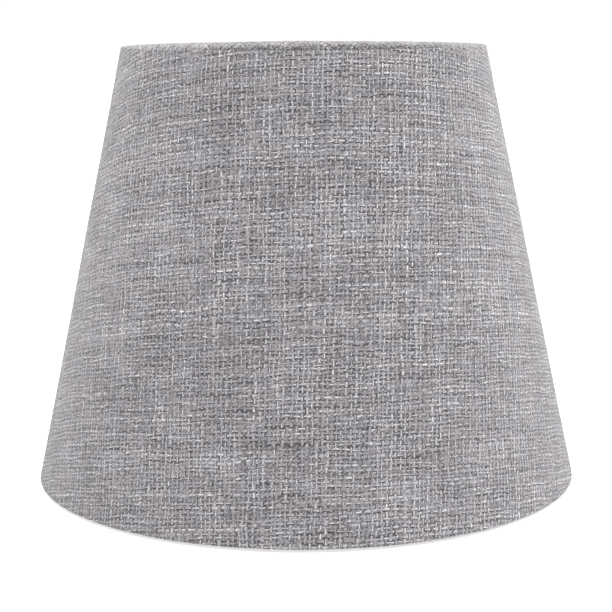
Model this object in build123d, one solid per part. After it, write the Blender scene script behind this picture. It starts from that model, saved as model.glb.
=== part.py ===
from build123d import *
import math
import os

# Round tapered lamp shade: a woven cover on a stiff liner, rolled over two ring wires, with a
# three-spoke carrier and a lift-out reducer ring. Millimetres, +Z up. The origin is the middle of
# the circle that the bottom edge stands on, +Z is the axis of the cone, and the seam is at +Y.

# Driving dimensions
HEIGHT = 159.0              # overall, from the bottom edge to the top edge
BOTTOM_DIAMETER = 200.0     # across the outer faces at the bottom edge
TOP_DIAMETER = 132.0        # across the outer faces at the top edge

CLOTH = 0.6                 # thickness of the woven cover
LINER = 0.4                 # thickness of the liner sheet
GLUE = 0.05                 # film of adhesive, or the play between two layers
FOLD_RADIUS = 1.1           # outside of the fold where the cover turns over an edge
WRAP_TURN = 290.0           # degrees of the ring wire that the turned-in cover goes round

RING_WIRE = 3.0             # diameter of the top and bottom ring wires
SPOKE_WIRE = 2.5            # diameter of the carrier's spokes
SPOKE_ANGLES = (30.0, 150.0, 270.0)
SPOKE_BEND = 6.0            # bend radius on the wire's middle line
SPOKE_SHOULDER_IN = 7.0     # from the ring wire's middle in to the upper bend
SPOKE_SHOULDER_DROP = 3.0   # from the ring wire's middle down to the upper bend
SPOKE_KNEE_OUT = 6.5        # from the fitter ring's edge out to the lower bend
SPOKE_FOOT_SHORT = 0.8      # from the fitter ring's bore out to the spoke's end
EDGE_PLAY = 0.3             # beside the edge of a layer, and round a spoke in its slit

FITTER_RECESS = 18.0        # from the top edge down to the fitter ring's upper face
FITTER_BORE = 42.0          # diameter
FITTER_DIAMETER = 50.0
FITTER_THICKNESS = 1.6

REDUCER_BORE = 29.0         # diameter
REDUCER_FLANGE = 48.0       # diameter
REDUCER_FLANGE_THICKNESS = 2.0
REDUCER_DEPTH = 4.0         # of the collar and the spigot, below the flange
REDUCER_WALL = 1.6
SPIGOT_CLEARANCE = 0.08     # radial, in the fitter ring's bore
SEAT_GAP = 0.02             # under the reducer's flange
REDUCER_RIBS = 6
RIB_THICKNESS = 1.2
RIB_DEPTH = 3.0

SEAM_WIDTH = 12.0           # of the lap, where the cover's end lies over its start
SEAM_JOIN = 1.5             # strip along one side of the lap that turns into the wall
LAP_THICKNESS = 1.0         # cover turned under on itself
TAPE_WIDTH = 8.0
TAPE_THICKNESS = 0.15

STAMPED_EDGE = 0.2          # chamfer on the fitter ring
MOULDED_EDGE = 0.35         # round on the reducer's flange
SEAM_SLAB = 400.0           # side of the blocks that cut the seam out of a full turn

# The wall's own frame: x is the depth inward from the outer face, y is the run up the wall.
TAPER = math.atan2((BOTTOM_DIAMETER - TOP_DIAMETER) / 2, HEIGHT)
WRAP_INSIDE = RING_WIRE / 2 + GLUE
WRAP_OUTSIDE = WRAP_INSIDE + CLOTH
LINER_OUTER = CLOTH + GLUE
LINER_INNER = LINER_OUTER + LINER
RING_DEPTH = LINER_INNER + GLUE + WRAP_OUTSIDE
BOTTOM_Z = WRAP_OUTSIDE * (1 - math.cos(TAPER)) + RING_DEPTH * math.sin(TAPER)
TOP_Z = HEIGHT + FOLD_RADIUS * (math.sin(TAPER) + math.cos(TAPER) - 1)
WALL_RUN = (TOP_Z - BOTTOM_Z) / math.cos(TAPER)
WALL = Plane(
    origin=(BOTTOM_DIAMETER / 2, 0, BOTTOM_Z),
    x_dir=(-math.cos(TAPER), 0, -math.sin(TAPER)),
    z_dir=(0, 1, 0),
)

FITTER_TOP = HEIGHT - FITTER_RECESS
FITTER_BOTTOM = FITTER_TOP - FITTER_THICKNESS


def wall_ring(section):
    """Turn a section drawn in the wall's frame once round the shade's axis."""
    return revolve(WALL * section, Axis.Z)


def wall_layer(depth, thickness, start, end):
    """A layer of the wall from one depth inward, between two runs up the wall."""
    return wall_ring(Pos(depth + thickness / 2, (start + end) / 2) * Rectangle(thickness, end - start))


def seam_strip(layer, left, right):
    """The part of a full layer that lies at +Y between two distances from the seam's middle."""
    slab = Pos((left + right) / 2, SEAM_SLAB / 2, 0) * Box(right - left, SEAM_SLAB, 2 * SEAM_SLAB)
    return layer & slab


def cover_half_section():
    """The cover from mid-height of the wall, over the fold and round the ring wire to its end."""
    middle = WALL_RUN / 2
    fold = (FOLD_RADIUS, FOLD_RADIUS)
    ring = (RING_DEPTH, WRAP_OUTSIDE)
    with BuildSketch() as half:
        with BuildLine():
            Line((0, middle), (0, FOLD_RADIUS))
            CenterArc(fold, FOLD_RADIUS, 180, 90)
            Line((FOLD_RADIUS, 0), (RING_DEPTH, 0))
            outside = CenterArc(ring, WRAP_OUTSIDE, 270, WRAP_TURN)
            inside = CenterArc(ring, WRAP_INSIDE, 270, WRAP_TURN)
            Line(outside @ 1, inside @ 1)
            Line((RING_DEPTH, CLOTH), (FOLD_RADIUS, CLOTH))
            CenterArc(fold, FOLD_RADIUS - CLOTH, 180, 90)
            Line((CLOTH, FOLD_RADIUS), (CLOTH, middle))
            Line((CLOTH, middle), (0, middle))
        make_face()
    return half.sketch


def ring_wire(run):
    """A closed ring of round wire whose middle lies at a run up the wall."""
    middle = WALL.from_local_coords((RING_DEPTH, run, 0))
    return Pos(0, 0, middle.Z) * Torus(middle.X, RING_WIRE / 2)


def spoke_path():
    """Middle line of a spoke in the XZ plane, from the top ring wire down to the fitter ring."""
    ring = WALL.from_local_coords((RING_DEPTH, WALL_RUN - WRAP_OUTSIDE, 0))
    foot_z = FITTER_BOTTOM - SPOKE_WIRE / 2 - SEAT_GAP
    shoulder = (ring.X - SPOKE_SHOULDER_IN, 0, ring.Z - SPOKE_SHOULDER_DROP)
    knee = (FITTER_DIAMETER / 2 + SPOKE_KNEE_OUT, 0, foot_z)
    foot = (FITTER_BORE / 2 + SPOKE_FOOT_SHORT, 0, foot_z)
    return FilletPolyline((ring.X, 0, ring.Z), shoulder, knee, foot, radius=SPOKE_BEND)


def spoke_rod(diameter):
    """A round rod along the spoke's middle line."""
    path = spoke_path()
    return sweep(Plane(origin=path @ 0, z_dir=path % 0) * Circle(diameter / 2), path=path)


def make_cover_cloth():
    """Woven cover: wall, both rolled hems with slits for the spokes, and the lap at the seam."""
    half = cover_half_section()
    section = half + mirror(half, Plane.XZ.offset(-WALL_RUN / 2))
    cover = wall_ring(section)
    lap_depth = -(2 * GLUE + TAPE_THICKNESS + LAP_THICKNESS)
    lap = wall_layer(lap_depth, LAP_THICKNESS, FOLD_RADIUS, WALL_RUN - FOLD_RADIUS)
    join = wall_layer(lap_depth, CLOTH / 2 - lap_depth, FOLD_RADIUS, WALL_RUN - FOLD_RADIUS)
    side = SEAM_WIDTH / 2
    cover += seam_strip(lap, -side, side)
    cover += seam_strip(join, -side, SEAM_JOIN - side)
    slit = spoke_rod(SPOKE_WIRE + 2 * EDGE_PLAY)
    for angle in SPOKE_ANGLES:
        cover -= Rot(0, 0, angle) * slit
    return cover


def make_backing_liner():
    """Stiff sheet behind the cover, with its own narrow lap on the inside of the seam."""
    liner = wall_layer(LINER_OUTER, LINER, FOLD_RADIUS, WALL_RUN - FOLD_RADIUS)
    hem_end = 2 * WRAP_OUTSIDE + EDGE_PLAY
    lap = wall_layer(LINER_INNER - LINER / 2, 1.5 * LINER, hem_end, WALL_RUN - hem_end)
    return liner + seam_strip(lap, -SEAM_WIDTH / 2, SEAM_WIDTH / 2)


def make_seam_tape():
    """Double-sided tape between the wall and the lap."""
    left = SEAM_JOIN - SEAM_WIDTH / 2 + EDGE_PLAY
    layer = wall_layer(-GLUE - TAPE_THICKNESS, TAPE_THICKNESS, FOLD_RADIUS, WALL_RUN - FOLD_RADIUS)
    return seam_strip(layer, left, left + TAPE_WIDTH)


def make_spoke_wire(angle):
    """Spoke with two bends, its outer end hollowed to sit on the top ring wire."""
    ring = WALL.from_local_coords((RING_DEPTH, WALL_RUN - WRAP_OUTSIDE, 0))
    saddle = Pos(0, 0, ring.Z) * Torus(ring.X, RING_WIRE / 2 + SEAT_GAP)
    return Rot(0, 0, angle) * (spoke_rod(SPOKE_WIRE) - saddle)


def tube(outer_radius, inner_radius, bottom, top):
    """An upright tube between two heights."""
    height = top - bottom
    hollow = Cylinder(outer_radius, height) - Cylinder(inner_radius, height)
    return Pos(0, 0, (bottom + top) / 2) * hollow


def make_fitter_ring():
    """Flat stamped ring that the spokes carry from below."""
    ring = tube(FITTER_DIAMETER / 2, FITTER_BORE / 2, FITTER_BOTTOM, FITTER_TOP)
    return chamfer(ring.edges().filter_by(GeomType.CIRCLE), STAMPED_EDGE)


def make_reducer_ring():
    """Moulded reducer: a flange that rests on the fitter ring, a spigot in its bore, a collar and ribs."""
    bore = REDUCER_BORE / 2
    seat = FITTER_TOP + SEAT_GAP
    foot = seat - REDUCER_DEPTH
    spigot = FITTER_BORE / 2 - SPIGOT_CLEARANCE
    flange = tube(REDUCER_FLANGE / 2, bore, seat, seat + REDUCER_FLANGE_THICKNESS)
    rim = flange.edges().filter_by(GeomType.CIRCLE).group_by(SortBy.RADIUS)[-1]
    reducer = fillet(rim, MOULDED_EDGE)
    reducer += tube(bore + REDUCER_WALL, bore, foot, seat + MOULDED_EDGE)
    reducer += tube(spigot, spigot - REDUCER_WALL, foot, seat + MOULDED_EDGE)
    rib_start = bore + REDUCER_WALL / 2
    rib_end = spigot - REDUCER_WALL / 2
    rib = Box(rib_end - rib_start, RIB_THICKNESS, RIB_DEPTH + MOULDED_EDGE)
    rib_place = Pos((rib_start + rib_end) / 2, 0, seat - (RIB_DEPTH - MOULDED_EDGE) / 2)
    for number in range(REDUCER_RIBS):
        reducer += Rot(0, 0, number * 360 / REDUCER_RIBS) * rib_place * rib
    return reducer


def make_parts():
    """Every sub-part under its node name."""
    parts = {
        "cover_cloth": make_cover_cloth(),
        "backing_liner": make_backing_liner(),
        "seam_tape": make_seam_tape(),
        "top_ring_wire": ring_wire(WALL_RUN - WRAP_OUTSIDE),
        "bottom_ring_wire": ring_wire(WRAP_OUTSIDE),
        "fitter_ring": make_fitter_ring(),
        "reducer_ring": make_reducer_ring(),
    }
    for number, angle in enumerate(SPOKE_ANGLES, start=1):
        parts[f"spoke_wire_{number}"] = make_spoke_wire(angle)
    return parts


os.makedirs("parts", exist_ok=True)
for name, shape in make_parts().items():
    export_step(shape, f"parts/{name}.step")
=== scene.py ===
import math

import bmesh
import bpy
from mathutils import Matrix, Vector, noise


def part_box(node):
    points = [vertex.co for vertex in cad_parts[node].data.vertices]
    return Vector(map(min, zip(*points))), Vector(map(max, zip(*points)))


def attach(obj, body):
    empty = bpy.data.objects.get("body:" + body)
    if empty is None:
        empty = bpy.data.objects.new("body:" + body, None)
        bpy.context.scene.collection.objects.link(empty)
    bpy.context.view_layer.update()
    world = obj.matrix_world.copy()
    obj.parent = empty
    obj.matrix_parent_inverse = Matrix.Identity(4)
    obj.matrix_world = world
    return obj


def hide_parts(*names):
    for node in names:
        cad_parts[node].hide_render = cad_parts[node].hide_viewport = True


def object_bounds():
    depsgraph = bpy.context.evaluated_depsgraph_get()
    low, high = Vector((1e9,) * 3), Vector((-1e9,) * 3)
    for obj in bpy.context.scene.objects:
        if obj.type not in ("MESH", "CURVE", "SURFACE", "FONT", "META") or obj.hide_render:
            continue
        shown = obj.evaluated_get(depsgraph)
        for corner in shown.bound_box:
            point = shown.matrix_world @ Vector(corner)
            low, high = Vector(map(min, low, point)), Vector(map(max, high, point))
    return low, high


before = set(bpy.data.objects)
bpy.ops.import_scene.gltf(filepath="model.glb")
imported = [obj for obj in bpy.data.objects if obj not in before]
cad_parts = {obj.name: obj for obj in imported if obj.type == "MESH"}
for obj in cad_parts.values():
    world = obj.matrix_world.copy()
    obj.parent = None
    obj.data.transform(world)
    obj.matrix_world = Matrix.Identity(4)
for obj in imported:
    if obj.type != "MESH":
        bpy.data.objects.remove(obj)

CAD_LOW, CAD_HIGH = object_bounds()

# Sizes are in metres and angles in radians.

# Camera: the shade seen from just above its top edge.
CAMERA_DISTANCE = 0.6229
CAMERA_HEIGHT = 0.1751
CAMERA_ASIDE = 0.0003
CAMERA_PITCH = math.radians(10.23)
CAMERA_ROLL = math.radians(-0.34)
CAMERA_LENS_MM = 99.5
CAMERA_SENSOR_MM = 36
CAMERA_CLIP = (0.01, 50)

# Studio: how bright its walls and ceiling are, the heights between which one turns into the other
# (as sines of the angle above the horizon), and its round floor, just under the lowest cloth.
WALL_GLOW = 1.02
CEILING_GLOW = 0.48
WALL_TOP = (0.17, 0.28)
FLOOR_RADIUS = 3.5
FLOOR_SIDES = 96
FLOOR_HEIGHT = -0.0003
FLOOR_GLOW = (0.56, 1.0)
FLOOR_GLOW_RISES = (0.7, 2.2)

# Soft lights, all facing the middle of the shade: place, width and height, and power in watts
LIGHTS = {
    "overhead": ((0, 0.0, 1.5), (1.6, 1.6), 19),
    "left_side": ((-1.0, -0.15, 1.1), (0.7, 1.0), 6.2),
    "right_side": ((1.0, 0.0, 1.1), (0.7, 1.0), 13),
    "front_fill": ((-0.2, -1.6, 0.5), (0.6, 0.6), 1.2),
}

# Layers of the wall and its edges
CLOTH = 0.0006
LINER = 0.0004
GLUE = 0.00005
FOLD_RADIUS = 0.0005
WRAP_TURN = math.radians(290)

# Seam at the back: how far the lap stands out on the wall, the share of that left in the hems, and
# the cloth's two ends, of which one is turned in and the other folded under
SEAM_WIDTH = 0.012
SEAM_RAMP = 0.011
LAP_RISE = 0.0015
HEM_LAP_SHARE = 0.12
LAP_SETTLES = 0.012
START_TURN_IN = 0.002
START_COLUMNS = 2
EDGE_FOLD = 0.00062
TURN_UNDER = 0.003

# Hems. The roll round a ring wire starts at the very edge of the shade, and a place on it is given by
# its inwardness: 1 on the side that faces the axis, 0 at the edge, and -1 against the liner.
HEM_START = 1.5 * math.pi
GATHERS_FROM = -0.35
GATHERS_SPAN = 0.9
LAP_FROM = -0.9
LAP_SPAN = 0.8

# Slits where the spokes leave the top hem
SLIT_HALF_WIDTH = 0.0015
SLIT_END_WIDTH = 0.0005
SPOKE_LEAVES = math.radians(371)
SPOKE_NODES = ("spoke_wire_1", "spoke_wire_2", "spoke_wire_3")

# Weld beads under the fitter ring: length, width and height of one, its place, and its lumps
BEAD_SIZE = (0.0019, 0.00075, 0.0007)
BEAD_INSET = 0.0018
BEAD_ASIDE = 0.8
BEAD_DROP = 0.00045
BEAD_LUMP = 0.16
BEAD_LUMP_RATE = 2.1
BEAD_RIPPLE = 0.05
BEAD_RIPPLE_RATE = 16
BEAD_SUBDIVISIONS = 4
BEAD_SPOKE_SEED = 7.7
BEAD_SIDE_SEED = 3.1

# Weave: the warp runs up the shade and the weft round it
WARP_PITCH = 0.00158
WEFT_PITCH = 0.00139
WARP_LEAN = math.tan(math.radians(1.3))
WEFT_LEAN = math.tan(math.radians(1.9))
YARN_RIDE = 0.36
YARN_ROUND = 0.6
OVER_BLEND = 0.08
SIDE_BLEND = 0.02
WARP_SEED = 17.0
WEFT_SEED = 53.0
FLAT_UV = "flat"

# Irregular setting of the yarns: straying of each one, drift of small areas, and uneven bands
WANDER = 0.0012
WANDER_SPAN = 0.0026
WANDER_RUN = 0.012
DRIFT = 0.0010
WARP_DRIFT_RATE = 75.0
WEFT_DRIFT_RATE = 85.0
BANDS = 0.0025
BAND_RATE = 45.0
WARP_BAND_SEED = 3.1
WEFT_BAND_SEED = 7.7

# Range of the noise behind a yarn's traits that is put to use, and the step in that noise from a
# yarn to the next, which is different for each trait so that no two of them vary together
RUN_RANGE = (0.34, 0.66)
SPREADS = {
    "width": 2.91,
    "body": 4.41,
    "light": 3.77,
    "light_offset": 8.71,
    "light_stroke": 5.13,
    "dark": 9.19,
    "dark_side": 6.37,
    "dark_stroke": 7.77,
    "level_gap": 7.13,
    "upright_gap": 5.71,
    "tint": 0.61,
}

# Gaps between the yarns: the heights of cloth that count as gap, and how deep the painted shade in the gaps
# is
PORE_HEIGHTS = (0.05, 0.42)
PORE_SHADE = (0.0, 0.42)
UPRIGHT_PORE_SHADE = (-0.2, 0.50)
PORE_RUN = 0.010
LEVEL_GAP_SEED = 91.0
UPRIGHT_GAP_SEED = 37.0

# Tone of the cloth, its clouds, its hems painted lighter, a painted highlight along the top fold, and
# the painted shadow and highlight at the seam
CLOTH_TONE = 0.392
CLOUD = 0.13
CLOUD_RATE = 55.0
HEM_FADE = 0.0012
HEM_PORE_SHADE = 0.45
HEM_PAINTED_LIGHT = 0.06
CREST_WIDTH = 0.0007
CREST_HIGHLIGHT = 0.13
SEAM_SHADOW = 0.15
SEAM_SHADOW_WIDTH = 0.0022
SEAM_FOLD_HIGHLIGHT = 0.07
SEAM_FOLD_HIGHLIGHT_WIDTH = 0.0011
CLOTH_COLOURS = (
    (0.0, (0.050, 0.047, 0.051)),
    (0.25, (0.140, 0.135, 0.142)),
    (0.5, (0.300, 0.292, 0.305)),
    (0.8, (0.560, 0.552, 0.565)),
    (1.0, (0.740, 0.735, 0.745)),
)
CLOTH_TINTS = ((1.0, 0.962, 0.965, 1), (0.982, 0.985, 1.0, 1))
TINT_RANGE = (0.8, 1.2)
TINT_RUN = 0.012
TINT_RATE = 90.0
CLOTH_ROUGHNESS = (0.95, 0.82)
CLOTH_SHEEN = 0.2
CLOTH_SHEEN_ROUGHNESS = 0.5
CLOTH_RELIEF = 0.00028

# Other materials: two colours that each mottles between, its range of roughness, how many times a
# metre its noise changes, and the depth of its relief
LINER_COLOURS = ((0.66, 0.65, 0.62, 1), (0.84, 0.835, 0.81, 1))
LINER_ROUGHNESS = (0.38, 0.52)
LINER_CLOUD_RATE = 60.0
LINER_GRAIN_RATE = 420.0
LINER_RELIEF = 0.00003
STEEL_COLOURS = ((0.40, 0.40, 0.39, 1), (0.53, 0.53, 0.515, 1))
STEEL_ROUGHNESS = (0.45, 0.28)
STEEL_COAT = 0.3
STEEL_COAT_ROUGHNESS = 0.2
STEEL_PATCH_RATE = 260.0
STEEL_PEEL_RATE = 900.0
STEEL_RELIEF = 0.00004
PLASTIC_COLOURS = ((0.40, 0.40, 0.39, 1), (0.47, 0.47, 0.458, 1))
PLASTIC_ROUGHNESS = (0.30, 0.46)
PLASTIC_FLOW_RATE = 70.0
PLASTIC_GRAIN_RATE = 2600.0
PLASTIC_RELIEF = 0.00003
TURNING_PITCH = 0.0009
TAPE_COLOURS = ((0.60, 0.56, 0.44, 1), (0.74, 0.72, 0.64, 1))
TAPE_ROUGHNESS = (0.25, 0.5)
TAPE_SPECK_RATE = 800.0
TAPE_RELIEF = 0.00003
FLOOR_COLOURS = ((0.64, 0.64, 0.64, 1), (0.67, 0.67, 0.67, 1))
FLOOR_ROUGHNESS = 0.9
FLOOR_MOTTLE_RATE = 3.0
WHITE = (1, 1, 1, 1)
NOISE_RANGE = (0.3, 0.7)
PATCH_RANGE = (0.35, 0.65)

# Mesh density
COVER_COLUMNS = 720
LINER_COLUMNS = 240
WRAP_STEPS = 22
FOLD_STEPS = 5
WALL_STEPS = 44
EDGE_STEPS = 6
LINER_SHARP = math.radians(40)

# Unevenness of handmade work
WALL_WAVE = 0.00012
WALL_WAVE_SPAN = 0.035
PUCKER = 0.00022
PUCKER_SPAN = 0.0042
PUCKER_LENGTH = 0.016
PUCKER_SEED = 47.9
TOP_PUCKER_SEED = 11.3
FINE_PUCKER = 0.4
FINE_PUCKER_RATE = 2.3


def ring_circle(node):
    """Radius and height of a ring wire's middle line, and the wire's own radius."""
    low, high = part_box(node)
    wire = (high.z - low.z) / 2
    return high.x - wire, (high.z + low.z) / 2, wire


# The wall's own frame, worked out from the two ring wires: depth goes inward from the cover's
# outer face, and run goes up the wall from its bottom edge.
BOTTOM_RING_R, BOTTOM_RING_Z, WIRE_R = ring_circle("bottom_ring_wire")
TOP_RING_R, TOP_RING_Z, _ = ring_circle("top_ring_wire")
TAPER = math.atan2(BOTTOM_RING_R - TOP_RING_R, TOP_RING_Z - BOTTOM_RING_Z)
SIN_TAPER = math.sin(TAPER)
COS_TAPER = math.cos(TAPER)
WRAP_R = WIRE_R + GLUE + CLOTH
LINER_OUTER = CLOTH + GLUE
LINER_INNER = LINER_OUTER + LINER
RING_DEPTH = LINER_INNER + GLUE + WRAP_R
WALL_R = BOTTOM_RING_R + COS_TAPER * RING_DEPTH + SIN_TAPER * WRAP_R
WALL_Z = BOTTOM_RING_Z + SIN_TAPER * RING_DEPTH - COS_TAPER * WRAP_R
WALL_RUN = math.hypot(BOTTOM_RING_R - TOP_RING_R, TOP_RING_Z - BOTTOM_RING_Z) + 2 * WRAP_R
APEX_RUN = WALL_R / SIN_TAPER
HEM_LENGTH = WRAP_R * WRAP_TURN + RING_DEPTH - FOLD_RADIUS + FOLD_RADIUS * math.pi / 2


def smoothstep(value):
    """0 below 0, 1 above 1, and a smooth rise between."""
    value = min(max(value, 0.0), 1.0)
    return value * value * (3 - 2 * value)


# ------------------------------------------------------------------ stage


def make_camera():
    """Camera at the height and distance that show the top opening as a thin slot."""
    data = bpy.data.cameras.new("camera")
    data.lens = CAMERA_LENS_MM
    data.sensor_width = CAMERA_SENSOR_MM
    data.clip_start, data.clip_end = CAMERA_CLIP
    camera = bpy.data.objects.new("camera", data)
    camera.location = (CAMERA_ASIDE, -CAMERA_DISTANCE, CAMERA_HEIGHT)
    level = Matrix.Rotation(math.pi / 2 - CAMERA_PITCH, 3, "X")
    camera.rotation_euler = (level @ Matrix.Rotation(CAMERA_ROLL, 3, "Z")).to_euler()
    bpy.context.scene.collection.objects.link(camera)
    bpy.context.scene.camera = camera


def add_area_light(name, place, aim, size, power):
    """A soft rectangular light that faces a point."""
    data = bpy.data.lights.new(name, "AREA")
    data.shape = "RECTANGLE"
    data.size, data.size_y = size
    data.energy = power
    light = bpy.data.objects.new(name, data)
    light.location = place
    light.rotation_euler = (Vector(aim) - Vector(place)).to_track_quat("-Z", "Y").to_euler()
    bpy.context.scene.collection.objects.link(light)


def make_world():
    """White walls low down all round and a dimmer ceiling."""
    world = bpy.data.worlds.new("studio")
    world.use_nodes = True
    tree = world.node_tree
    direction = tree.nodes.new("ShaderNodeTexCoord").outputs["Generated"]
    split = tree.nodes.new("ShaderNodeSeparateXYZ")
    tree.links.new(direction, split.inputs[0])
    fade = tree.nodes.new("ShaderNodeMapRange")
    fade.interpolation_type = "SMOOTHSTEP"
    names = ("From Min", "From Max", "To Min", "To Max")
    for name, number in zip(names, (*WALL_TOP, WALL_GLOW, CEILING_GLOW)):
        fade.inputs[name].default_value = number
    tree.links.new(split.outputs["Z"], fade.inputs["Value"])
    background = tree.nodes["Background"]
    background.inputs["Color"].default_value = WHITE
    tree.links.new(fade.outputs["Result"], background.inputs["Strength"])
    bpy.context.scene.world = world


def make_lights():
    """A soft box overhead, one high at each side with the right one stronger, and a weak one in front."""
    middle = (0, 0, CAD_HIGH.z / 2)
    for name, (place, size, power) in LIGHTS.items():
        add_area_light(name, place, middle, size, power)


def make_floor():
    """Wide round table top, pale and lit from within toward its edge."""
    rim = [
        (FLOOR_RADIUS * math.cos(angle), FLOOR_RADIUS * math.sin(angle), FLOOR_HEIGHT)
        for angle in (2 * math.pi * k / FLOOR_SIDES for k in range(FLOOR_SIDES))
    ]
    floor = add_object("floor", rim, [tuple(range(FLOOR_SIDES))])
    floor.data.materials.append(floor_material())


# ----------------------------------------------------------------- meshes


def add_object(name, vertices, faces):
    """A smooth-shaded mesh object in the scene."""
    mesh = bpy.data.meshes.new(name)
    mesh.from_pydata(vertices, [], faces)
    mesh.update()
    mesh.shade_smooth()
    piece = bpy.data.objects.new(name, mesh)
    bpy.context.scene.collection.objects.link(piece)
    return piece


def set_flat_uv(piece, places):
    """A UV layer of each vertex's place on the cloth before it was rolled up, in metres."""
    layer = piece.data.uv_layers.new(name=FLAT_UV)
    for loop in piece.data.loops:
        layer.data[loop.index].uv = places[loop.vertex_index]


def settle(piece, slot, material, *nodes):
    """Puts a new piece on the shade's body, with its material and what it stands for; its slot is not used.
    """
    piece.data.materials.append(material)
    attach(piece, "shade")
    if nodes:
        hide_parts(*nodes)


def wall_wave(place):
    """Slow, slight waviness of the laminated wall, the same for every layer at one place."""
    return WALL_WAVE * noise.noise(place / WALL_WAVE_SPAN)


def layer_point(depth, run, normal, offset, turn, slide=0.0):
    """A point of a layer at an angle from the seam, moved out along its normal and aside by slide."""
    depth += normal[0] * offset
    run += normal[1] * offset
    radius = WALL_R - COS_TAPER * depth - SIN_TAPER * run
    height = WALL_Z - SIN_TAPER * depth + COS_TAPER * run
    angle = turn + slide / radius
    place = Vector((radius * math.sin(angle), radius * math.cos(angle), height))
    wave = wall_wave(place)
    out = Vector((math.sin(angle) * COS_TAPER, math.cos(angle) * COS_TAPER, SIN_TAPER))
    return place + out * wave


def lap_rise(arc_left):
    """How far the wall stands out as it climbs on to its own start; arc_left is the arc to its end."""
    return LAP_RISE * smoothstep((SEAM_WIDTH + SEAM_RAMP - arc_left) / SEAM_RAMP)


def lap_share(run):
    """Share of the lap's rise that the wall shows at a height: the hems are pressed flatter."""
    from_edge = min(run, WALL_RUN - run) - FOLD_RADIUS
    return HEM_LAP_SHARE + (1 - HEM_LAP_SHARE) * smoothstep(from_edge / LAP_SETTLES)


def wall_runs():
    """Heights of the rows between the two folds."""
    straight = WALL_RUN - 2 * FOLD_RADIUS
    return [FOLD_RADIUS + straight * step / WALL_STEPS for step in range(WALL_STEPS + 1)]


def column_turn(share, radius):
    """Angle from the seam of a column, whose share runs from 0 at the start of the cloth to 1."""
    lap_angle = SEAM_WIDTH / 2 / radius
    return -lap_angle + (2 * math.pi + 2 * lap_angle) * share


def flat_place(length, turn):
    """Place on the flat cloth, whose threads run straight up at the front of the shade."""
    ray = APEX_RUN - length
    angle = (turn - math.pi) * SIN_TAPER
    return (ray * math.sin(angle), -ray * math.cos(angle))


class Row:
    """One line of the cover's section: its place, outward normal, distance along the cloth from the
    foot of the wall, the hem that it belongs to, and its angle round the ring wire."""

    def __init__(self, depth, run, normal, hem, wrap_angle):
        self.depth = depth
        self.run = run
        self.normal = normal
        self.hem = hem
        self.wrap_angle = wrap_angle
        self.length = 0.0
        inward = 0.0 if wrap_angle is None else math.cos(wrap_angle)
        self.pucker = smoothstep((inward - GATHERS_FROM) / GATHERS_SPAN)
        self.lap_share = HEM_LAP_SHARE if hem else lap_share(run)
        if wrap_angle is not None:
            self.lap_share *= smoothstep((inward - LAP_FROM) / LAP_SPAN)
        self.radius = WALL_R - COS_TAPER * depth - SIN_TAPER * run

    def mirrored(self):
        """The same line in the top hem."""
        normal = (self.normal[0], -self.normal[1])
        return Row(self.depth, WALL_RUN - self.run, normal, "top", self.wrap_angle)


def hem_rows():
    """Bottom hem, from its tucked end round the ring wire and the fold to the foot of the wall."""
    rows = []
    for step in range(WRAP_STEPS + 1):
        angle = HEM_START + WRAP_TURN * (1 - step / WRAP_STEPS)
        normal = (math.cos(angle), math.sin(angle))
        depth = RING_DEPTH + WRAP_R * normal[0]
        run = WRAP_R + WRAP_R * normal[1]
        rows.append(Row(depth, run, normal, "bottom", angle))
    for step in range(FOLD_STEPS + 1):
        angle = HEM_START - 0.5 * math.pi * step / FOLD_STEPS
        normal = (math.cos(angle), math.sin(angle))
        depth = FOLD_RADIUS * (1 + normal[0])
        run = FOLD_RADIUS * (1 + normal[1])
        rows.append(Row(depth, run, normal, "bottom", None))
    return rows


def cover_rows():
    """Rows of the cover from the tucked end at the bottom, up the wall, to the one at the top."""
    hem = hem_rows()
    wall = [Row(0.0, run, (-1.0, 0.0), None, None) for run in wall_runs()[1:-1]]
    rows = hem + wall + [row.mirrored() for row in reversed(hem)]
    length = -HEM_LENGTH
    for before, row in zip(rows, rows[1:]):
        before.length = length
        length += math.dist((before.depth, before.run), (row.depth, row.run))
    rows[-1].length = length
    return rows


def pucker_height(row, arc):
    """Small gathers where the turned-in cloth is longer than the circle that it lies on; on the wall
    they are weaker."""
    if row.pucker == 0:
        return 0.0
    seed = TOP_PUCKER_SEED if row.hem == "top" else PUCKER_SEED
    along = Vector((arc / PUCKER_SPAN, (row.run + row.depth) / PUCKER_LENGTH, seed))
    gathers = noise.noise(along) + FINE_PUCKER * noise.noise(along * FINE_PUCKER_RATE)
    return PUCKER * row.pucker * gathers


def spoke_turns():
    """Angle from the seam of each spoke."""
    turns = []
    for name in SPOKE_NODES:
        middle = Vector()
        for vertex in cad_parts[name].data.vertices:
            middle += vertex.co
        turns.append(math.atan2(middle.x, middle.y) % (2 * math.pi))
    return turns


def slit_half_width(row):
    """Half the width of a spoke's slit where it crosses a row, or 0 if it doesn't."""
    if row.hem != "top" or row.wrap_angle is None:
        return 0.0
    past = (row.wrap_angle - SPOKE_LEAVES) * WRAP_R
    if past <= -SLIT_HALF_WIDTH:
        return 0.0
    if past < 0:
        return math.sqrt(SLIT_HALF_WIDTH**2 - past**2)
    left = (HEM_START + WRAP_TURN - SPOKE_LEAVES) * WRAP_R
    return SLIT_HALF_WIDTH + (SLIT_END_WIDTH - SLIT_HALF_WIDTH) * past / left


def slit_slide(distance, half_width):
    """How far a point beside a slit moves aside to open it."""
    moved = math.hypot(distance, half_width)
    return (moved if distance > 0 else -moved) - distance


def nearest_spoke(turn, spokes):
    """Distance along the top ring from the nearest spoke, with its sign."""
    return min(((turn - spoke) * TOP_RING_R for spoke in spokes), key=abs)


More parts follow.
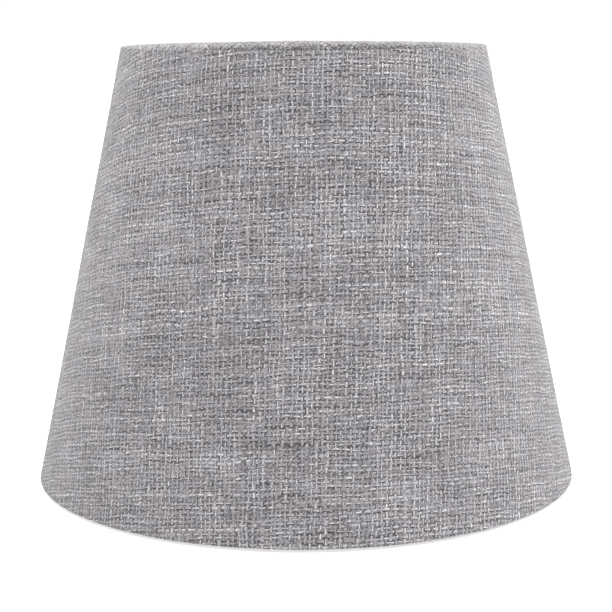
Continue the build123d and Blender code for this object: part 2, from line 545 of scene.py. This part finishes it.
def cover_columns(row, spokes):
    """Angle, sideways slide and outward offset of every point of a row, from end to end of the cloth."""
    half_width = slit_half_width(row)
    start = column_turn(0, row.radius)
    columns = [(start, START_TURN_IN, -CLOTH), (start, 0.0, -CLOTH)]
    for column in range(COVER_COLUMNS + 1):
        turn = column_turn(column / COVER_COLUMNS, row.radius)
        end_turn = column_turn(1, row.radius)
        rise = lap_rise((end_turn - turn) * row.radius) * row.lap_share
        slide = 0.0
        if half_width:
            distance = nearest_spoke(column_turn(column / COVER_COLUMNS, TOP_RING_R), spokes)
            slide = slit_slide(distance, half_width)
        columns.append((turn, slide, rise + pucker_height(row, turn * row.radius)))
    end, _, rise = columns[-1]
    for step in range(1, EDGE_STEPS + 1):
        angle = math.pi * step / EDGE_STEPS
        columns.append((end, EDGE_FOLD * math.sin(angle), rise - EDGE_FOLD * (1 - math.cos(angle))))
    columns.append((end, -TURN_UNDER / 2, rise - 2 * EDGE_FOLD))
    columns.append((end, -TURN_UNDER, rise - 2 * EDGE_FOLD))
    return columns


def slit_columns(spokes):
    """Columns whose right-hand neighbour is on the other side of a spoke."""
    distances = [
        nearest_spoke(column_turn(column / COVER_COLUMNS, TOP_RING_R), spokes)
        for column in range(COVER_COLUMNS + 1)
    ]
    return {
        START_COLUMNS + k
        for k, (here, following) in enumerate(zip(distances, distances[1:]))
        if here <= 0 < following and following - here < SLIT_HALF_WIDTH
    }


def make_cover():
    """The woven cover: one sheet, rolled over both rings, its end lapped over its start at the back."""
    spokes = spoke_turns()
    rows = cover_rows()
    vertices = []
    places = []
    for row in rows:
        for turn, slide, offset in cover_columns(row, spokes):
            vertices.append(layer_point(row.depth, row.run, row.normal, offset, turn, slide))
            places.append(flat_place(row.length, turn + slide / row.radius))
    width = len(vertices) // len(rows)
    slits = slit_columns(spokes)
    faces = []
    for line in range(len(rows) - 1):
        open_here = slit_half_width(rows[line]) > 0 and slit_half_width(rows[line + 1]) > 0
        for column in range(width - 1):
            if open_here and column in slits:
                continue
            corner = line * width + column
            faces.append((corner, corner + width, corner + width + 1, corner + 1))
    cover = add_object("woven_cover", vertices, faces)
    set_flat_uv(cover, places)
    settle(cover, "cloth", cloth_material(), "cover_cloth")


def make_liner():
    """Stiff white sheet behind the cover, a closed shell that laps with it at the seam."""
    ends_short = TURN_UNDER + CLOTH
    inner = [(LINER_INNER, run) for run in wall_runs()]
    outer = [(LINER_OUTER, run) for _, run in reversed(inner)]
    loop = inner + outer
    vertices = []
    places = []
    for column in range(LINER_COLUMNS + 1):
        for depth, run in loop:
            radius = WALL_R - COS_TAPER * depth - SIN_TAPER * run
            turn = column_turn(column / LINER_COLUMNS, radius)
            turn -= ends_short / radius * smoothstep(column - LINER_COLUMNS + 1)
            rise = lap_rise((column_turn(1, radius) - turn) * radius) * lap_share(run)
            vertices.append(layer_point(depth, run, (-1.0, 0.0), rise, turn))
            places.append(flat_place(run, turn))
    around = len(loop)
    faces = []
    for column in range(LINER_COLUMNS):
        for k in range(around):
            following = (k + 1) % around
            near = column * around
            far = near + around
            faces.append((near + k, near + following, far + following, far + k))
    for k in range(WALL_STEPS):
        back = around - 1 - k
        faces.append((k, back, back - 1, k + 1))
        last = LINER_COLUMNS * around
        faces.append((last + k, last + k + 1, last + back - 1, last + back))
    liner = add_object("liner_sheet", vertices, faces)
    set_flat_uv(liner, places)
    liner.data.set_sharp_from_angle(angle=LINER_SHARP)
    settle(liner, "liner", liner_material(), "backing_liner")


def add_bead(mesh, place, turn, size, seed):
    """A lumpy run of weld metal, size long, wide and high, lying along a line out from the axis."""
    made = bmesh.ops.create_icosphere(mesh, subdivisions=BEAD_SUBDIVISIONS, radius=1.0)
    spin = Matrix.Rotation(math.pi / 2 - turn, 4, "Z")
    for vertex in made["verts"]:
        x, y, z = vertex.co
        lump = 1 + BEAD_LUMP * noise.noise(vertex.co * BEAD_LUMP_RATE + Vector((seed, 0, 0)))
        ripple = 1 + BEAD_RIPPLE * math.sin(x * BEAD_RIPPLE_RATE + seed)
        local = Vector((x * size[0], y * size[1] * ripple, z * size[2] * ripple))
        vertex.co = spin @ (local * lump) + place


def make_weld_beads(steel):
    """Beads on both sides of each spoke where it meets the underside of the fitter ring."""
    fitter_low, fitter_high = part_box("fitter_ring")
    spoke_low, spoke_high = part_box(SPOKE_NODES[-1])
    wire_r = (spoke_high.x - spoke_low.x) / 2
    seat_r = fitter_high.x - BEAD_INSET
    mesh = bmesh.new()
    for number, turn in enumerate(spoke_turns()):
        out = Vector((math.sin(turn), math.cos(turn), 0))
        aside = Vector((math.cos(turn), -math.sin(turn), 0))
        for side in (-1, 1):
            place = out * seat_r + aside * side * wire_r * BEAD_ASIDE
            place.z = fitter_low.z - BEAD_DROP
            seed = number * BEAD_SPOKE_SEED + side * BEAD_SIDE_SEED
            add_bead(mesh, place, turn, BEAD_SIZE, seed)
    data = bpy.data.meshes.new("weld_beads")
    mesh.to_mesh(data)
    mesh.free()
    data.shade_smooth()
    beads = bpy.data.objects.new("weld_beads", data)
    bpy.context.scene.collection.objects.link(beads)
    settle(beads, "coated_wire", steel)


# -------------------------------------------------------------- materials


class Graph:
    """Builds a material's nodes a step at a time; a step takes sockets or plain numbers."""

    def __init__(self, name):
        self.material = bpy.data.materials.get(name) or bpy.data.materials.new(name)
        self.material.use_nodes = True
        self.tree = self.material.node_tree
        self.shader = self.tree.nodes["Principled BSDF"]

    def feed(self, socket, value):
        """Links a socket to another, or sets its value."""
        if isinstance(value, bpy.types.NodeSocket):
            self.tree.links.new(value, socket)
        else:
            socket.default_value = value

    def math(self, operation, *values):
        node = self.tree.nodes.new("ShaderNodeMath")
        node.operation = operation
        for socket, value in zip(node.inputs, values):
            self.feed(socket, value)
        return node.outputs[0]

    def add(self, first, second):
        return self.math("ADD", first, second)

    def subtract(self, first, second):
        return self.math("SUBTRACT", first, second)

    def times(self, first, second):
        return self.math("MULTIPLY", first, second)

    def between(self, value, low, high, to_low, to_high, smooth=False):
        """Takes a value from one range to another, held at its ends."""
        node = self.tree.nodes.new("ShaderNodeMapRange")
        node.interpolation_type = "SMOOTHSTEP" if smooth else "LINEAR"
        names = ("Value", "From Min", "From Max", "To Min", "To Max")
        for name, number in zip(names, (value, low, high, to_low, to_high)):
            self.feed(node.inputs[name], number)
        return node.outputs["Result"]

    def swing(self, share, amount):
        """Turns a share of 0 to 1 into a swing of half the amount each way."""
        return self.times(self.subtract(share, 0.5), amount)

    def distance(self, first, second):
        """Length of the vector with these two components."""
        return self.math("SQRT", self.add(self.times(first, first), self.times(second, second)))

    def vector(self, x, y, z=0.0):
        node = self.tree.nodes.new("ShaderNodeCombineXYZ")
        for socket, value in zip(node.inputs, (x, y, z)):
            self.feed(socket, value)
        return node.outputs[0]

    def split(self, vector):
        node = self.tree.nodes.new("ShaderNodeSeparateXYZ")
        self.feed(node.inputs[0], vector)
        return node.outputs

    def noise(self, vector, scale, detail=2.0, roughness=0.5, flat=True):
        node = self.tree.nodes.new("ShaderNodeTexNoise")
        node.noise_dimensions = "2D" if flat else "3D"
        self.feed(node.inputs["Vector"], vector)
        self.feed(node.inputs["Scale"], scale)
        self.feed(node.inputs["Detail"], detail)
        self.feed(node.inputs["Roughness"], roughness)
        return node.outputs["Fac"]

    def random(self, number):
        """A random number from 0 to 1 for each whole number."""
        node = self.tree.nodes.new("ShaderNodeTexWhiteNoise")
        node.noise_dimensions = "1D"
        self.feed(node.inputs["W"], number)
        return node.outputs["Value"]

    def mix(self, share, first, second):
        node = self.tree.nodes.new("ShaderNodeMix")
        node.data_type = "RGBA"
        self.feed(node.inputs["Factor"], share)
        self.feed(node.inputs["A"], first)
        self.feed(node.inputs["B"], second)
        return next(socket for socket in node.outputs if socket.type == "RGBA")

    def mix_value(self, share, first, second):
        node = self.tree.nodes.new("ShaderNodeMix")
        self.feed(node.inputs["Factor"], share)
        self.feed(node.inputs["A"], first)
        self.feed(node.inputs["B"], second)
        return node.outputs["Result"]

    def multiply_colours(self, first, second):
        node = self.tree.nodes.new("ShaderNodeVectorMath")
        node.operation = "MULTIPLY"
        self.feed(node.inputs[0], first)
        self.feed(node.inputs[1], second)
        return node.outputs[0]

    def ramp(self, value, stops):
        """Colour that passes through stops of (position, colour)."""
        node = self.tree.nodes.new("ShaderNodeValToRGB")
        self.feed(node.inputs[0], value)
        points = node.color_ramp.elements
        while len(points) < len(stops):
            points.new(0.5)
        for point, (position, colour) in zip(points, stops):
            point.position = position
            point.color = (*colour, 1)
        return node.outputs["Color"]

    def place(self):
        """Place in the object's own frame, in metres."""
        return self.tree.nodes.new("ShaderNodeTexCoord").outputs["Object"]

    def flat_uv(self):
        node = self.tree.nodes.new("ShaderNodeUVMap")
        node.uv_map = FLAT_UV
        return self.split(node.outputs["UV"])

    def bump(self, height, distance, strength=1.0):
        node = self.tree.nodes.new("ShaderNodeBump")
        self.feed(node.inputs["Height"], height)
        self.feed(node.inputs["Distance"], distance)
        self.feed(node.inputs["Strength"], strength)
        self.tree.links.new(node.outputs["Normal"], self.shader.inputs["Normal"])

    def set(self, **inputs):
        """Sets the shader's inputs, their names written with underscores."""
        for name, value in inputs.items():
            self.feed(self.shader.inputs[name.replace("_", " ")], value)


class Yarns:
    """One of the cloth's two sets of yarns. across and along are places in metres at right angles to
    the yarns and along them. Each yarn is a soft grey body with one light ply and one dark ply; the
    light ply is partly a painted highlight, and the dark ply partly a painted shadow at the yarn's edge."""

    def __init__(self, graph, across, along, pitch, seed):
        self.graph = graph
        self.number_place = graph.math("DIVIDE", across, pitch)
        self.index = graph.math("FLOOR", self.number_place)
        self.aside = graph.subtract(graph.math("FRACT", self.number_place), 0.5)
        self.along = along
        self.seed = seed

    def lookup(self, run_length, trait):
        """Noise that keeps its value for about run_length along a yarn and differs from yarn to yarn."""
        graph = self.graph
        row = graph.add(graph.times(self.index, SPREADS[trait]), self.seed)
        place = graph.vector(row, graph.math("DIVIDE", self.along, run_length))
        return graph.noise(place, 1.0, 1.0)

    def run_of(self, run_length, trait, low, high):
        """A value from low to high that comes and goes along a yarn."""
        return self.graph.between(self.lookup(run_length, trait), *RUN_RANGE, low, high)

    def line(self, offset, half_width):
        """A soft line along the yarn at an offset from its middle."""
        graph = self.graph
        distance = graph.math("ABSOLUTE", graph.subtract(self.aside, offset))
        return graph.between(distance, 0.0, half_width, 1.0, 0.0, smooth=True)

    def height(self, other, sign, look):
        """Height of the yarn's face as it rides over the other set and dives under it."""
        graph = self.graph
        phase = graph.add(graph.subtract(other.number_place, 0.5), self.index)
        ride = graph.times(graph.math("COSINE", graph.times(phase, math.pi)), sign * YARN_RIDE)
        half = self.run_of(look.slub_run, "width", *look.half)
        share = graph.math("DIVIDE", self.aside, half)
        section = graph.subtract(1.0, graph.times(share, share))
        return graph.add(ride, graph.times(section, YARN_ROUND))

    def lightness(self, look):
        """Lightness of the yarn's face: its own tone, its fibres, and its light and dark plies, which are
        partly painted highlight and painted shadow.
        """
        graph = self.graph
        # The light ply is partly painted highlight, and the dark ply at the yarn's edge partly painted
        # shadow
        offset = self.run_of(look.offset_run, "light_offset", -look.offset, look.offset)
        strength = self.run_of(look.light_run, "light", *look.light)
        light = graph.times(self.line(offset, look.light_width), strength)
        stroke = self.run_of(look.stroke_run, "light_stroke", look.stroke_low, 1.0)
        side = self.run_of(look.side_run, "dark_side", -look.dark_above, look.dark_below)
        side = graph.between(side, -SIDE_BLEND, SIDE_BLEND, look.dark_offset, -look.dark_offset)
        depth = self.run_of(look.dark_run, "dark", *look.dark)
        dark = graph.times(self.line(side, look.dark_width), depth)
        dark = graph.times(dark, self.run_of(look.stroke_run, "dark_stroke", look.stroke_low, 1.0))
        own = graph.swing(graph.random(graph.add(self.index, self.seed)), look.own)
        body = graph.swing(self.lookup(look.body_run, "body"), look.body)
        across = graph.times(self.number_place, look.fibre_across)
        twist = graph.add(across, graph.math("DIVIDE", self.along, look.fibre_twist))
        fibre_place = graph.vector(twist, graph.math("DIVIDE", self.along, look.fibre_run))
        fibre = graph.swing(graph.noise(fibre_place, 1.0, 2.0), look.fibre)
        plies_and_painted_light = graph.subtract(graph.times(light, stroke), dark)
        return graph.add(graph.add(own, body), graph.add(fibre, plies_and_painted_light))


class WarpLook:
    """How the upright yarns look. Runs are lengths along a yarn in metres, and halves, widths and
    offsets are shares of the pitch. dark_above and dark_below weigh on which side the dark ply, partly
    a painted shadow, lies."""
    half = (0.32, 0.46)
    slub_run = 0.004
    light = (0.10, 0.66)
    light_width = 0.15
    light_run = 0.022
    offset = 0.12
    offset_run = 0.018
    stroke_run = 0.0033
    stroke_low = 0.6
    dark = (0.04, 0.52)
    dark_width = 0.25
    dark_run = 0.013
    dark_offset = 0.34
    dark_above = 1.0
    dark_below = 1.0
    side_run = 0.026
    own = 0.09
    body = 0.30
    body_run = 0.012
    fibre = 0.8
    fibre_across = 3.5
    fibre_twist = 0.0012
    fibre_run = 0.0009


class WeftLook(WarpLook):
    """How the level yarns look, where they differ from the upright ones."""
    half = (0.42, 0.60)
    light = (0.12, 0.66)
    light_width = 0.17
    light_run = 0.016
    offset = 0.2
    stroke_run = 0.0022
    stroke_low = 0.4
    own = 0.12
    body = 0.34
    body_run = 0.028
    dark = (0.04, 0.72)
    dark_width = 0.19
    dark_run = 0.013
    dark_offset = 0.32
    # The dark ply lies mostly below these yarns, as a painted shadow under them
    dark_above = 0.6
    dark_below = 1.2
    fibre = 0.9
    fibre_across = 2.4
    fibre_run = 0.0014


def wander(graph, across, along):
    """How far a yarn strays sideways, so that the gaps beside it open and close along its length."""
    from_side = graph.math("DIVIDE", across, WANDER_SPAN)
    place = graph.vector(from_side, graph.math("DIVIDE", along, WANDER_RUN))
    return graph.swing(graph.noise(place, 1.0, 1.0), WANDER)


def skewed_place(graph):
    """Place on the flat cloth, with the warp and weft a little out of square, drifting and unevenly set."""
    u, v, _ = graph.flat_uv()
    square_u = graph.add(u, graph.times(v, WARP_LEAN))
    square_v = graph.add(v, graph.times(u, WEFT_LEAN))
    square_u = graph.add(square_u, wander(graph, square_u, square_v))
    square_v = graph.add(square_v, wander(graph, square_v, square_u))
    place = graph.vector(u, v)
    drift_u = graph.swing(graph.noise(place, WARP_DRIFT_RATE), DRIFT)
    drift_v = graph.swing(graph.noise(graph.vector(v, u), WEFT_DRIFT_RATE), DRIFT)
    band_place_u = graph.vector(square_u, WARP_BAND_SEED)
    band_place_v = graph.vector(square_v, WEFT_BAND_SEED)
    bands_u = graph.swing(graph.noise(band_place_u, BAND_RATE, 1.0), BANDS)
    bands_v = graph.swing(graph.noise(band_place_v, BAND_RATE, 1.0), BANDS)
    return (
        graph.add(square_u, graph.add(drift_u, bands_u)),
        graph.add(square_v, graph.add(drift_v, bands_v)),
        place,
    )


def flat_ray(graph):
    """Distance on the flat cloth from the point where its side edges would meet."""
    u, v, _ = graph.flat_uv()
    return graph.distance(u, v)


def seam_shadow_and_highlight(graph):
    """Painted shadow on the cloth beside the lap's free edge, and a painted highlight along the folded edge
    itself.
    """
    u, v, _ = graph.flat_uv()
    ray = flat_ray(graph)
    angle = graph.math("ARCTAN2", u, graph.times(v, -1.0))
    half_sweep = math.pi * SIN_TAPER
    past_start = graph.subtract(graph.times(graph.add(angle, half_sweep), ray), SEAM_WIDTH / 2)
    from_end = graph.add(graph.times(graph.subtract(half_sweep, angle), ray), SEAM_WIDTH / 2)
    seam_shadow = graph.between(past_start, 0.0, SEAM_SHADOW_WIDTH, SEAM_SHADOW, 0.0, smooth=True)
    fold_highlight = graph.between(from_end, 0.0, SEAM_FOLD_HIGHLIGHT_WIDTH, SEAM_FOLD_HIGHLIGHT, 0.0, smooth=True)
    return graph.subtract(fold_highlight, seam_shadow)


def hem_share(graph):
    """1 in the hems, where the cloth is drawn tight round a wire, and 0 on the wall. The cloth there is
    painted lighter.
    """
    ray = flat_ray(graph)
    top = graph.between(ray, APEX_RUN - WALL_RUN - HEM_FADE, APEX_RUN - WALL_RUN, 1.0, 0.0)
    bottom = graph.between(ray, APEX_RUN, APEX_RUN + HEM_FADE, 0.0, 1.0)
    return graph.add(top, bottom)


def painted_crest_highlight(graph):
    """Painted highlight: a paler line along the fold at the top."""
    away = graph.math("ABSOLUTE", graph.subtract(flat_ray(graph), APEX_RUN - WALL_RUN))
    return graph.between(away, 0.0, CREST_WIDTH, CREST_HIGHLIGHT, 0.0, smooth=True)


def cloth_material():
    """Plain weave of uneven two-ply melange yarns."""
    graph = Graph("linen_weave")
    u, v, place = skewed_place(graph)
    warp = Yarns(graph, u, v, WARP_PITCH, WARP_SEED)
    weft = Yarns(graph, v, u, WEFT_PITCH, WEFT_SEED)
    warp_height = warp.height(weft, 1.0, WarpLook)
    weft_height = weft.height(warp, -1.0, WeftLook)
    ahead = graph.subtract(warp_height, weft_height)
    warp_on_top = graph.between(ahead, -OVER_BLEND, OVER_BLEND, 0.0, 1.0)
    face = graph.mix_value(warp_on_top, weft.lightness(WeftLook), warp.lightness(WarpLook))
    top = graph.math("MAXIMUM", warp_height, weft_height)
    between_wefts = graph.add(v, WEFT_PITCH / 2)
    between_warps = graph.add(u, WARP_PITCH / 2)
    level_gaps = Yarns(graph, between_wefts, u, WEFT_PITCH, LEVEL_GAP_SEED)
    upright_gaps = Yarns(graph, between_warps, v, WARP_PITCH, UPRIGHT_GAP_SEED)
    # Painted shade in the gaps between the yarns, where the cloth's face is low
    pore_shade_depth = graph.math(
        "MAXIMUM",
        level_gaps.run_of(PORE_RUN, "level_gap", *PORE_SHADE),
        upright_gaps.run_of(PORE_RUN, "upright_gap", *UPRIGHT_PORE_SHADE),
    )
    pore_shade = graph.times(graph.between(top, *PORE_HEIGHTS, 1.0, 0.0, smooth=True), pore_shade_depth)
    cloud = graph.swing(graph.noise(place, CLOUD_RATE, 3.0), CLOUD)
    # Painted light: the hems are painted lighter, with weaker painted pore shade
    hem = hem_share(graph)
    pore_shade = graph.times(pore_shade, graph.between(hem, 0.0, 1.0, 1.0, HEM_PORE_SHADE))
    lightness = graph.subtract(graph.add(graph.add(face, cloud), CLOTH_TONE), pore_shade)
    # Painted shadow and highlight at the seam, and painted highlight along the top fold
    seam_and_crest_light = graph.add(seam_shadow_and_highlight(graph), painted_crest_highlight(graph))
    lightness = graph.add(lightness, graph.add(seam_and_crest_light, graph.times(hem, HEM_PAINTED_LIGHT)))
    colour = graph.ramp(lightness, CLOTH_COLOURS)
    tint_noise = graph.add(weft.lookup(TINT_RUN, "tint"), graph.noise(place, TINT_RATE, 1.0))
    tint = graph.mix(graph.between(tint_noise, *TINT_RANGE, 0.0, 1.0), *CLOTH_TINTS)
    graph.set(Base_Color=graph.multiply_colours(colour, tint))
    graph.set(Sheen_Weight=CLOTH_SHEEN, Sheen_Roughness=CLOTH_SHEEN_ROUGHNESS)
    graph.set(Roughness=graph.between(lightness, 0.0, 1.0, *CLOTH_ROUGHNESS))
    graph.bump(top, CLOTH_RELIEF)
    return graph.material


def liner_material():
    """White plastic sheet with a satin face, on which the shadow of the weave behind is faintly painted."""
    graph = Graph("liner_sheet")
    u, v, _ = graph.flat_uv()
    # Painted shadow of the weave, as if seen through the sheet
    weave_shadow_u = graph.math("SINE", graph.times(u, 2 * math.pi / WARP_PITCH))
    weave_shadow_v = graph.math("SINE", graph.times(v, 2 * math.pi / WEFT_PITCH))
    weave_shadow = graph.between(graph.add(weave_shadow_u, weave_shadow_v), -2.0, 2.0, 0.0, 1.0)
    cloud = graph.noise(graph.vector(u, v), LINER_CLOUD_RATE, 3.0)
    share = graph.add(graph.times(weave_shadow, 0.5), graph.times(cloud, 0.5))
    graph.set(Base_Color=graph.mix(share, *LINER_COLOURS))
    graph.set(Roughness=graph.between(cloud, *NOISE_RANGE, *LINER_ROUGHNESS))
    graph.bump(graph.noise(graph.vector(u, v), LINER_GRAIN_RATE, 3.0), LINER_RELIEF)
    return graph.material


def coated_steel_material():
    """White epoxy coat on steel: orange peel, thin greyish patches and slight dust."""
    graph = Graph("coated_steel")
    place = graph.place()
    patches = graph.noise(place, STEEL_PATCH_RATE, 3.0, flat=False)
    share = graph.between(patches, *PATCH_RANGE, 0.0, 1.0)
    graph.set(Base_Color=graph.mix(share, *STEEL_COLOURS))
    graph.set(Roughness=graph.between(patches, *NOISE_RANGE, *STEEL_ROUGHNESS))
    graph.set(Coat_Weight=STEEL_COAT, Coat_Roughness=STEEL_COAT_ROUGHNESS)
    graph.bump(graph.noise(place, STEEL_PEEL_RATE, 2.0, flat=False), STEEL_RELIEF)
    return graph.material


def moulded_plastic_material():
    """White moulded plastic with faint flow marks and the fine rings of a turned mould."""
    graph = Graph("moulded_plastic")
    place = graph.place()
    flow = graph.noise(place, PLASTIC_FLOW_RATE, 3.0, flat=False)
    grain = graph.noise(place, PLASTIC_GRAIN_RATE, 2.0, flat=False)
    graph.set(Base_Color=graph.mix(flow, *PLASTIC_COLOURS))
    graph.set(Roughness=graph.between(grain, *NOISE_RANGE, *PLASTIC_ROUGHNESS))
    x, y, _ = graph.split(place)
    radius = graph.distance(x, y)
    turning = graph.math("SINE", graph.times(radius, 2 * math.pi / TURNING_PITCH))
    graph.bump(graph.add(graph.times(grain, 0.5), graph.times(turning, 0.5)), PLASTIC_RELIEF)
    return graph.material


def tape_material():
    """Clear adhesive tape, slightly yellow, with trapped specks."""
    graph = Graph("adhesive_tape")
    specks = graph.noise(graph.place(), TAPE_SPECK_RATE, 4.0, flat=False)
    graph.set(Base_Color=graph.mix(specks, *TAPE_COLOURS))
    graph.set(Roughness=graph.between(specks, *NOISE_RANGE, *TAPE_ROUGHNESS))
    graph.bump(specks, TAPE_RELIEF)
    return graph.material


def floor_material():
    """Matt white table top with the faintest mottling."""
    graph = Graph("studio_floor")
    place = graph.place()
    mottle = graph.noise(place, FLOOR_MOTTLE_RATE, 2.0, flat=False)
    x, y, _ = graph.split(place)
    away = graph.distance(x, y)
    glow = graph.between(away, *FLOOR_GLOW_RISES, *FLOOR_GLOW, smooth=True)
    graph.set(Base_Color=graph.mix(mottle, *FLOOR_COLOURS), Roughness=FLOOR_ROUGHNESS)
    graph.set(Emission_Color=WHITE, Emission_Strength=glow)
    return graph.material


def dress_cad_nodes(steel):
    """Gives the CAD parts that stay in sight their real materials."""
    finishes = {
        "top_ring_wire": steel,
        "bottom_ring_wire": steel,
        "fitter_ring": steel,
        "reducer_ring": moulded_plastic_material(),
        "seam_tape": tape_material(),
    }
    finishes.update({name: steel for name in SPOKE_NODES})
    for name, material in finishes.items():
        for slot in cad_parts[name].material_slots:
            slot.material = material


bpy.context.scene.view_settings.view_transform = "Standard"
make_camera()
make_floor()
make_world()
make_lights()
make_cover()
make_liner()
coated_steel = coated_steel_material()
make_weld_beads(coated_steel)
dress_cad_nodes(coated_steel)
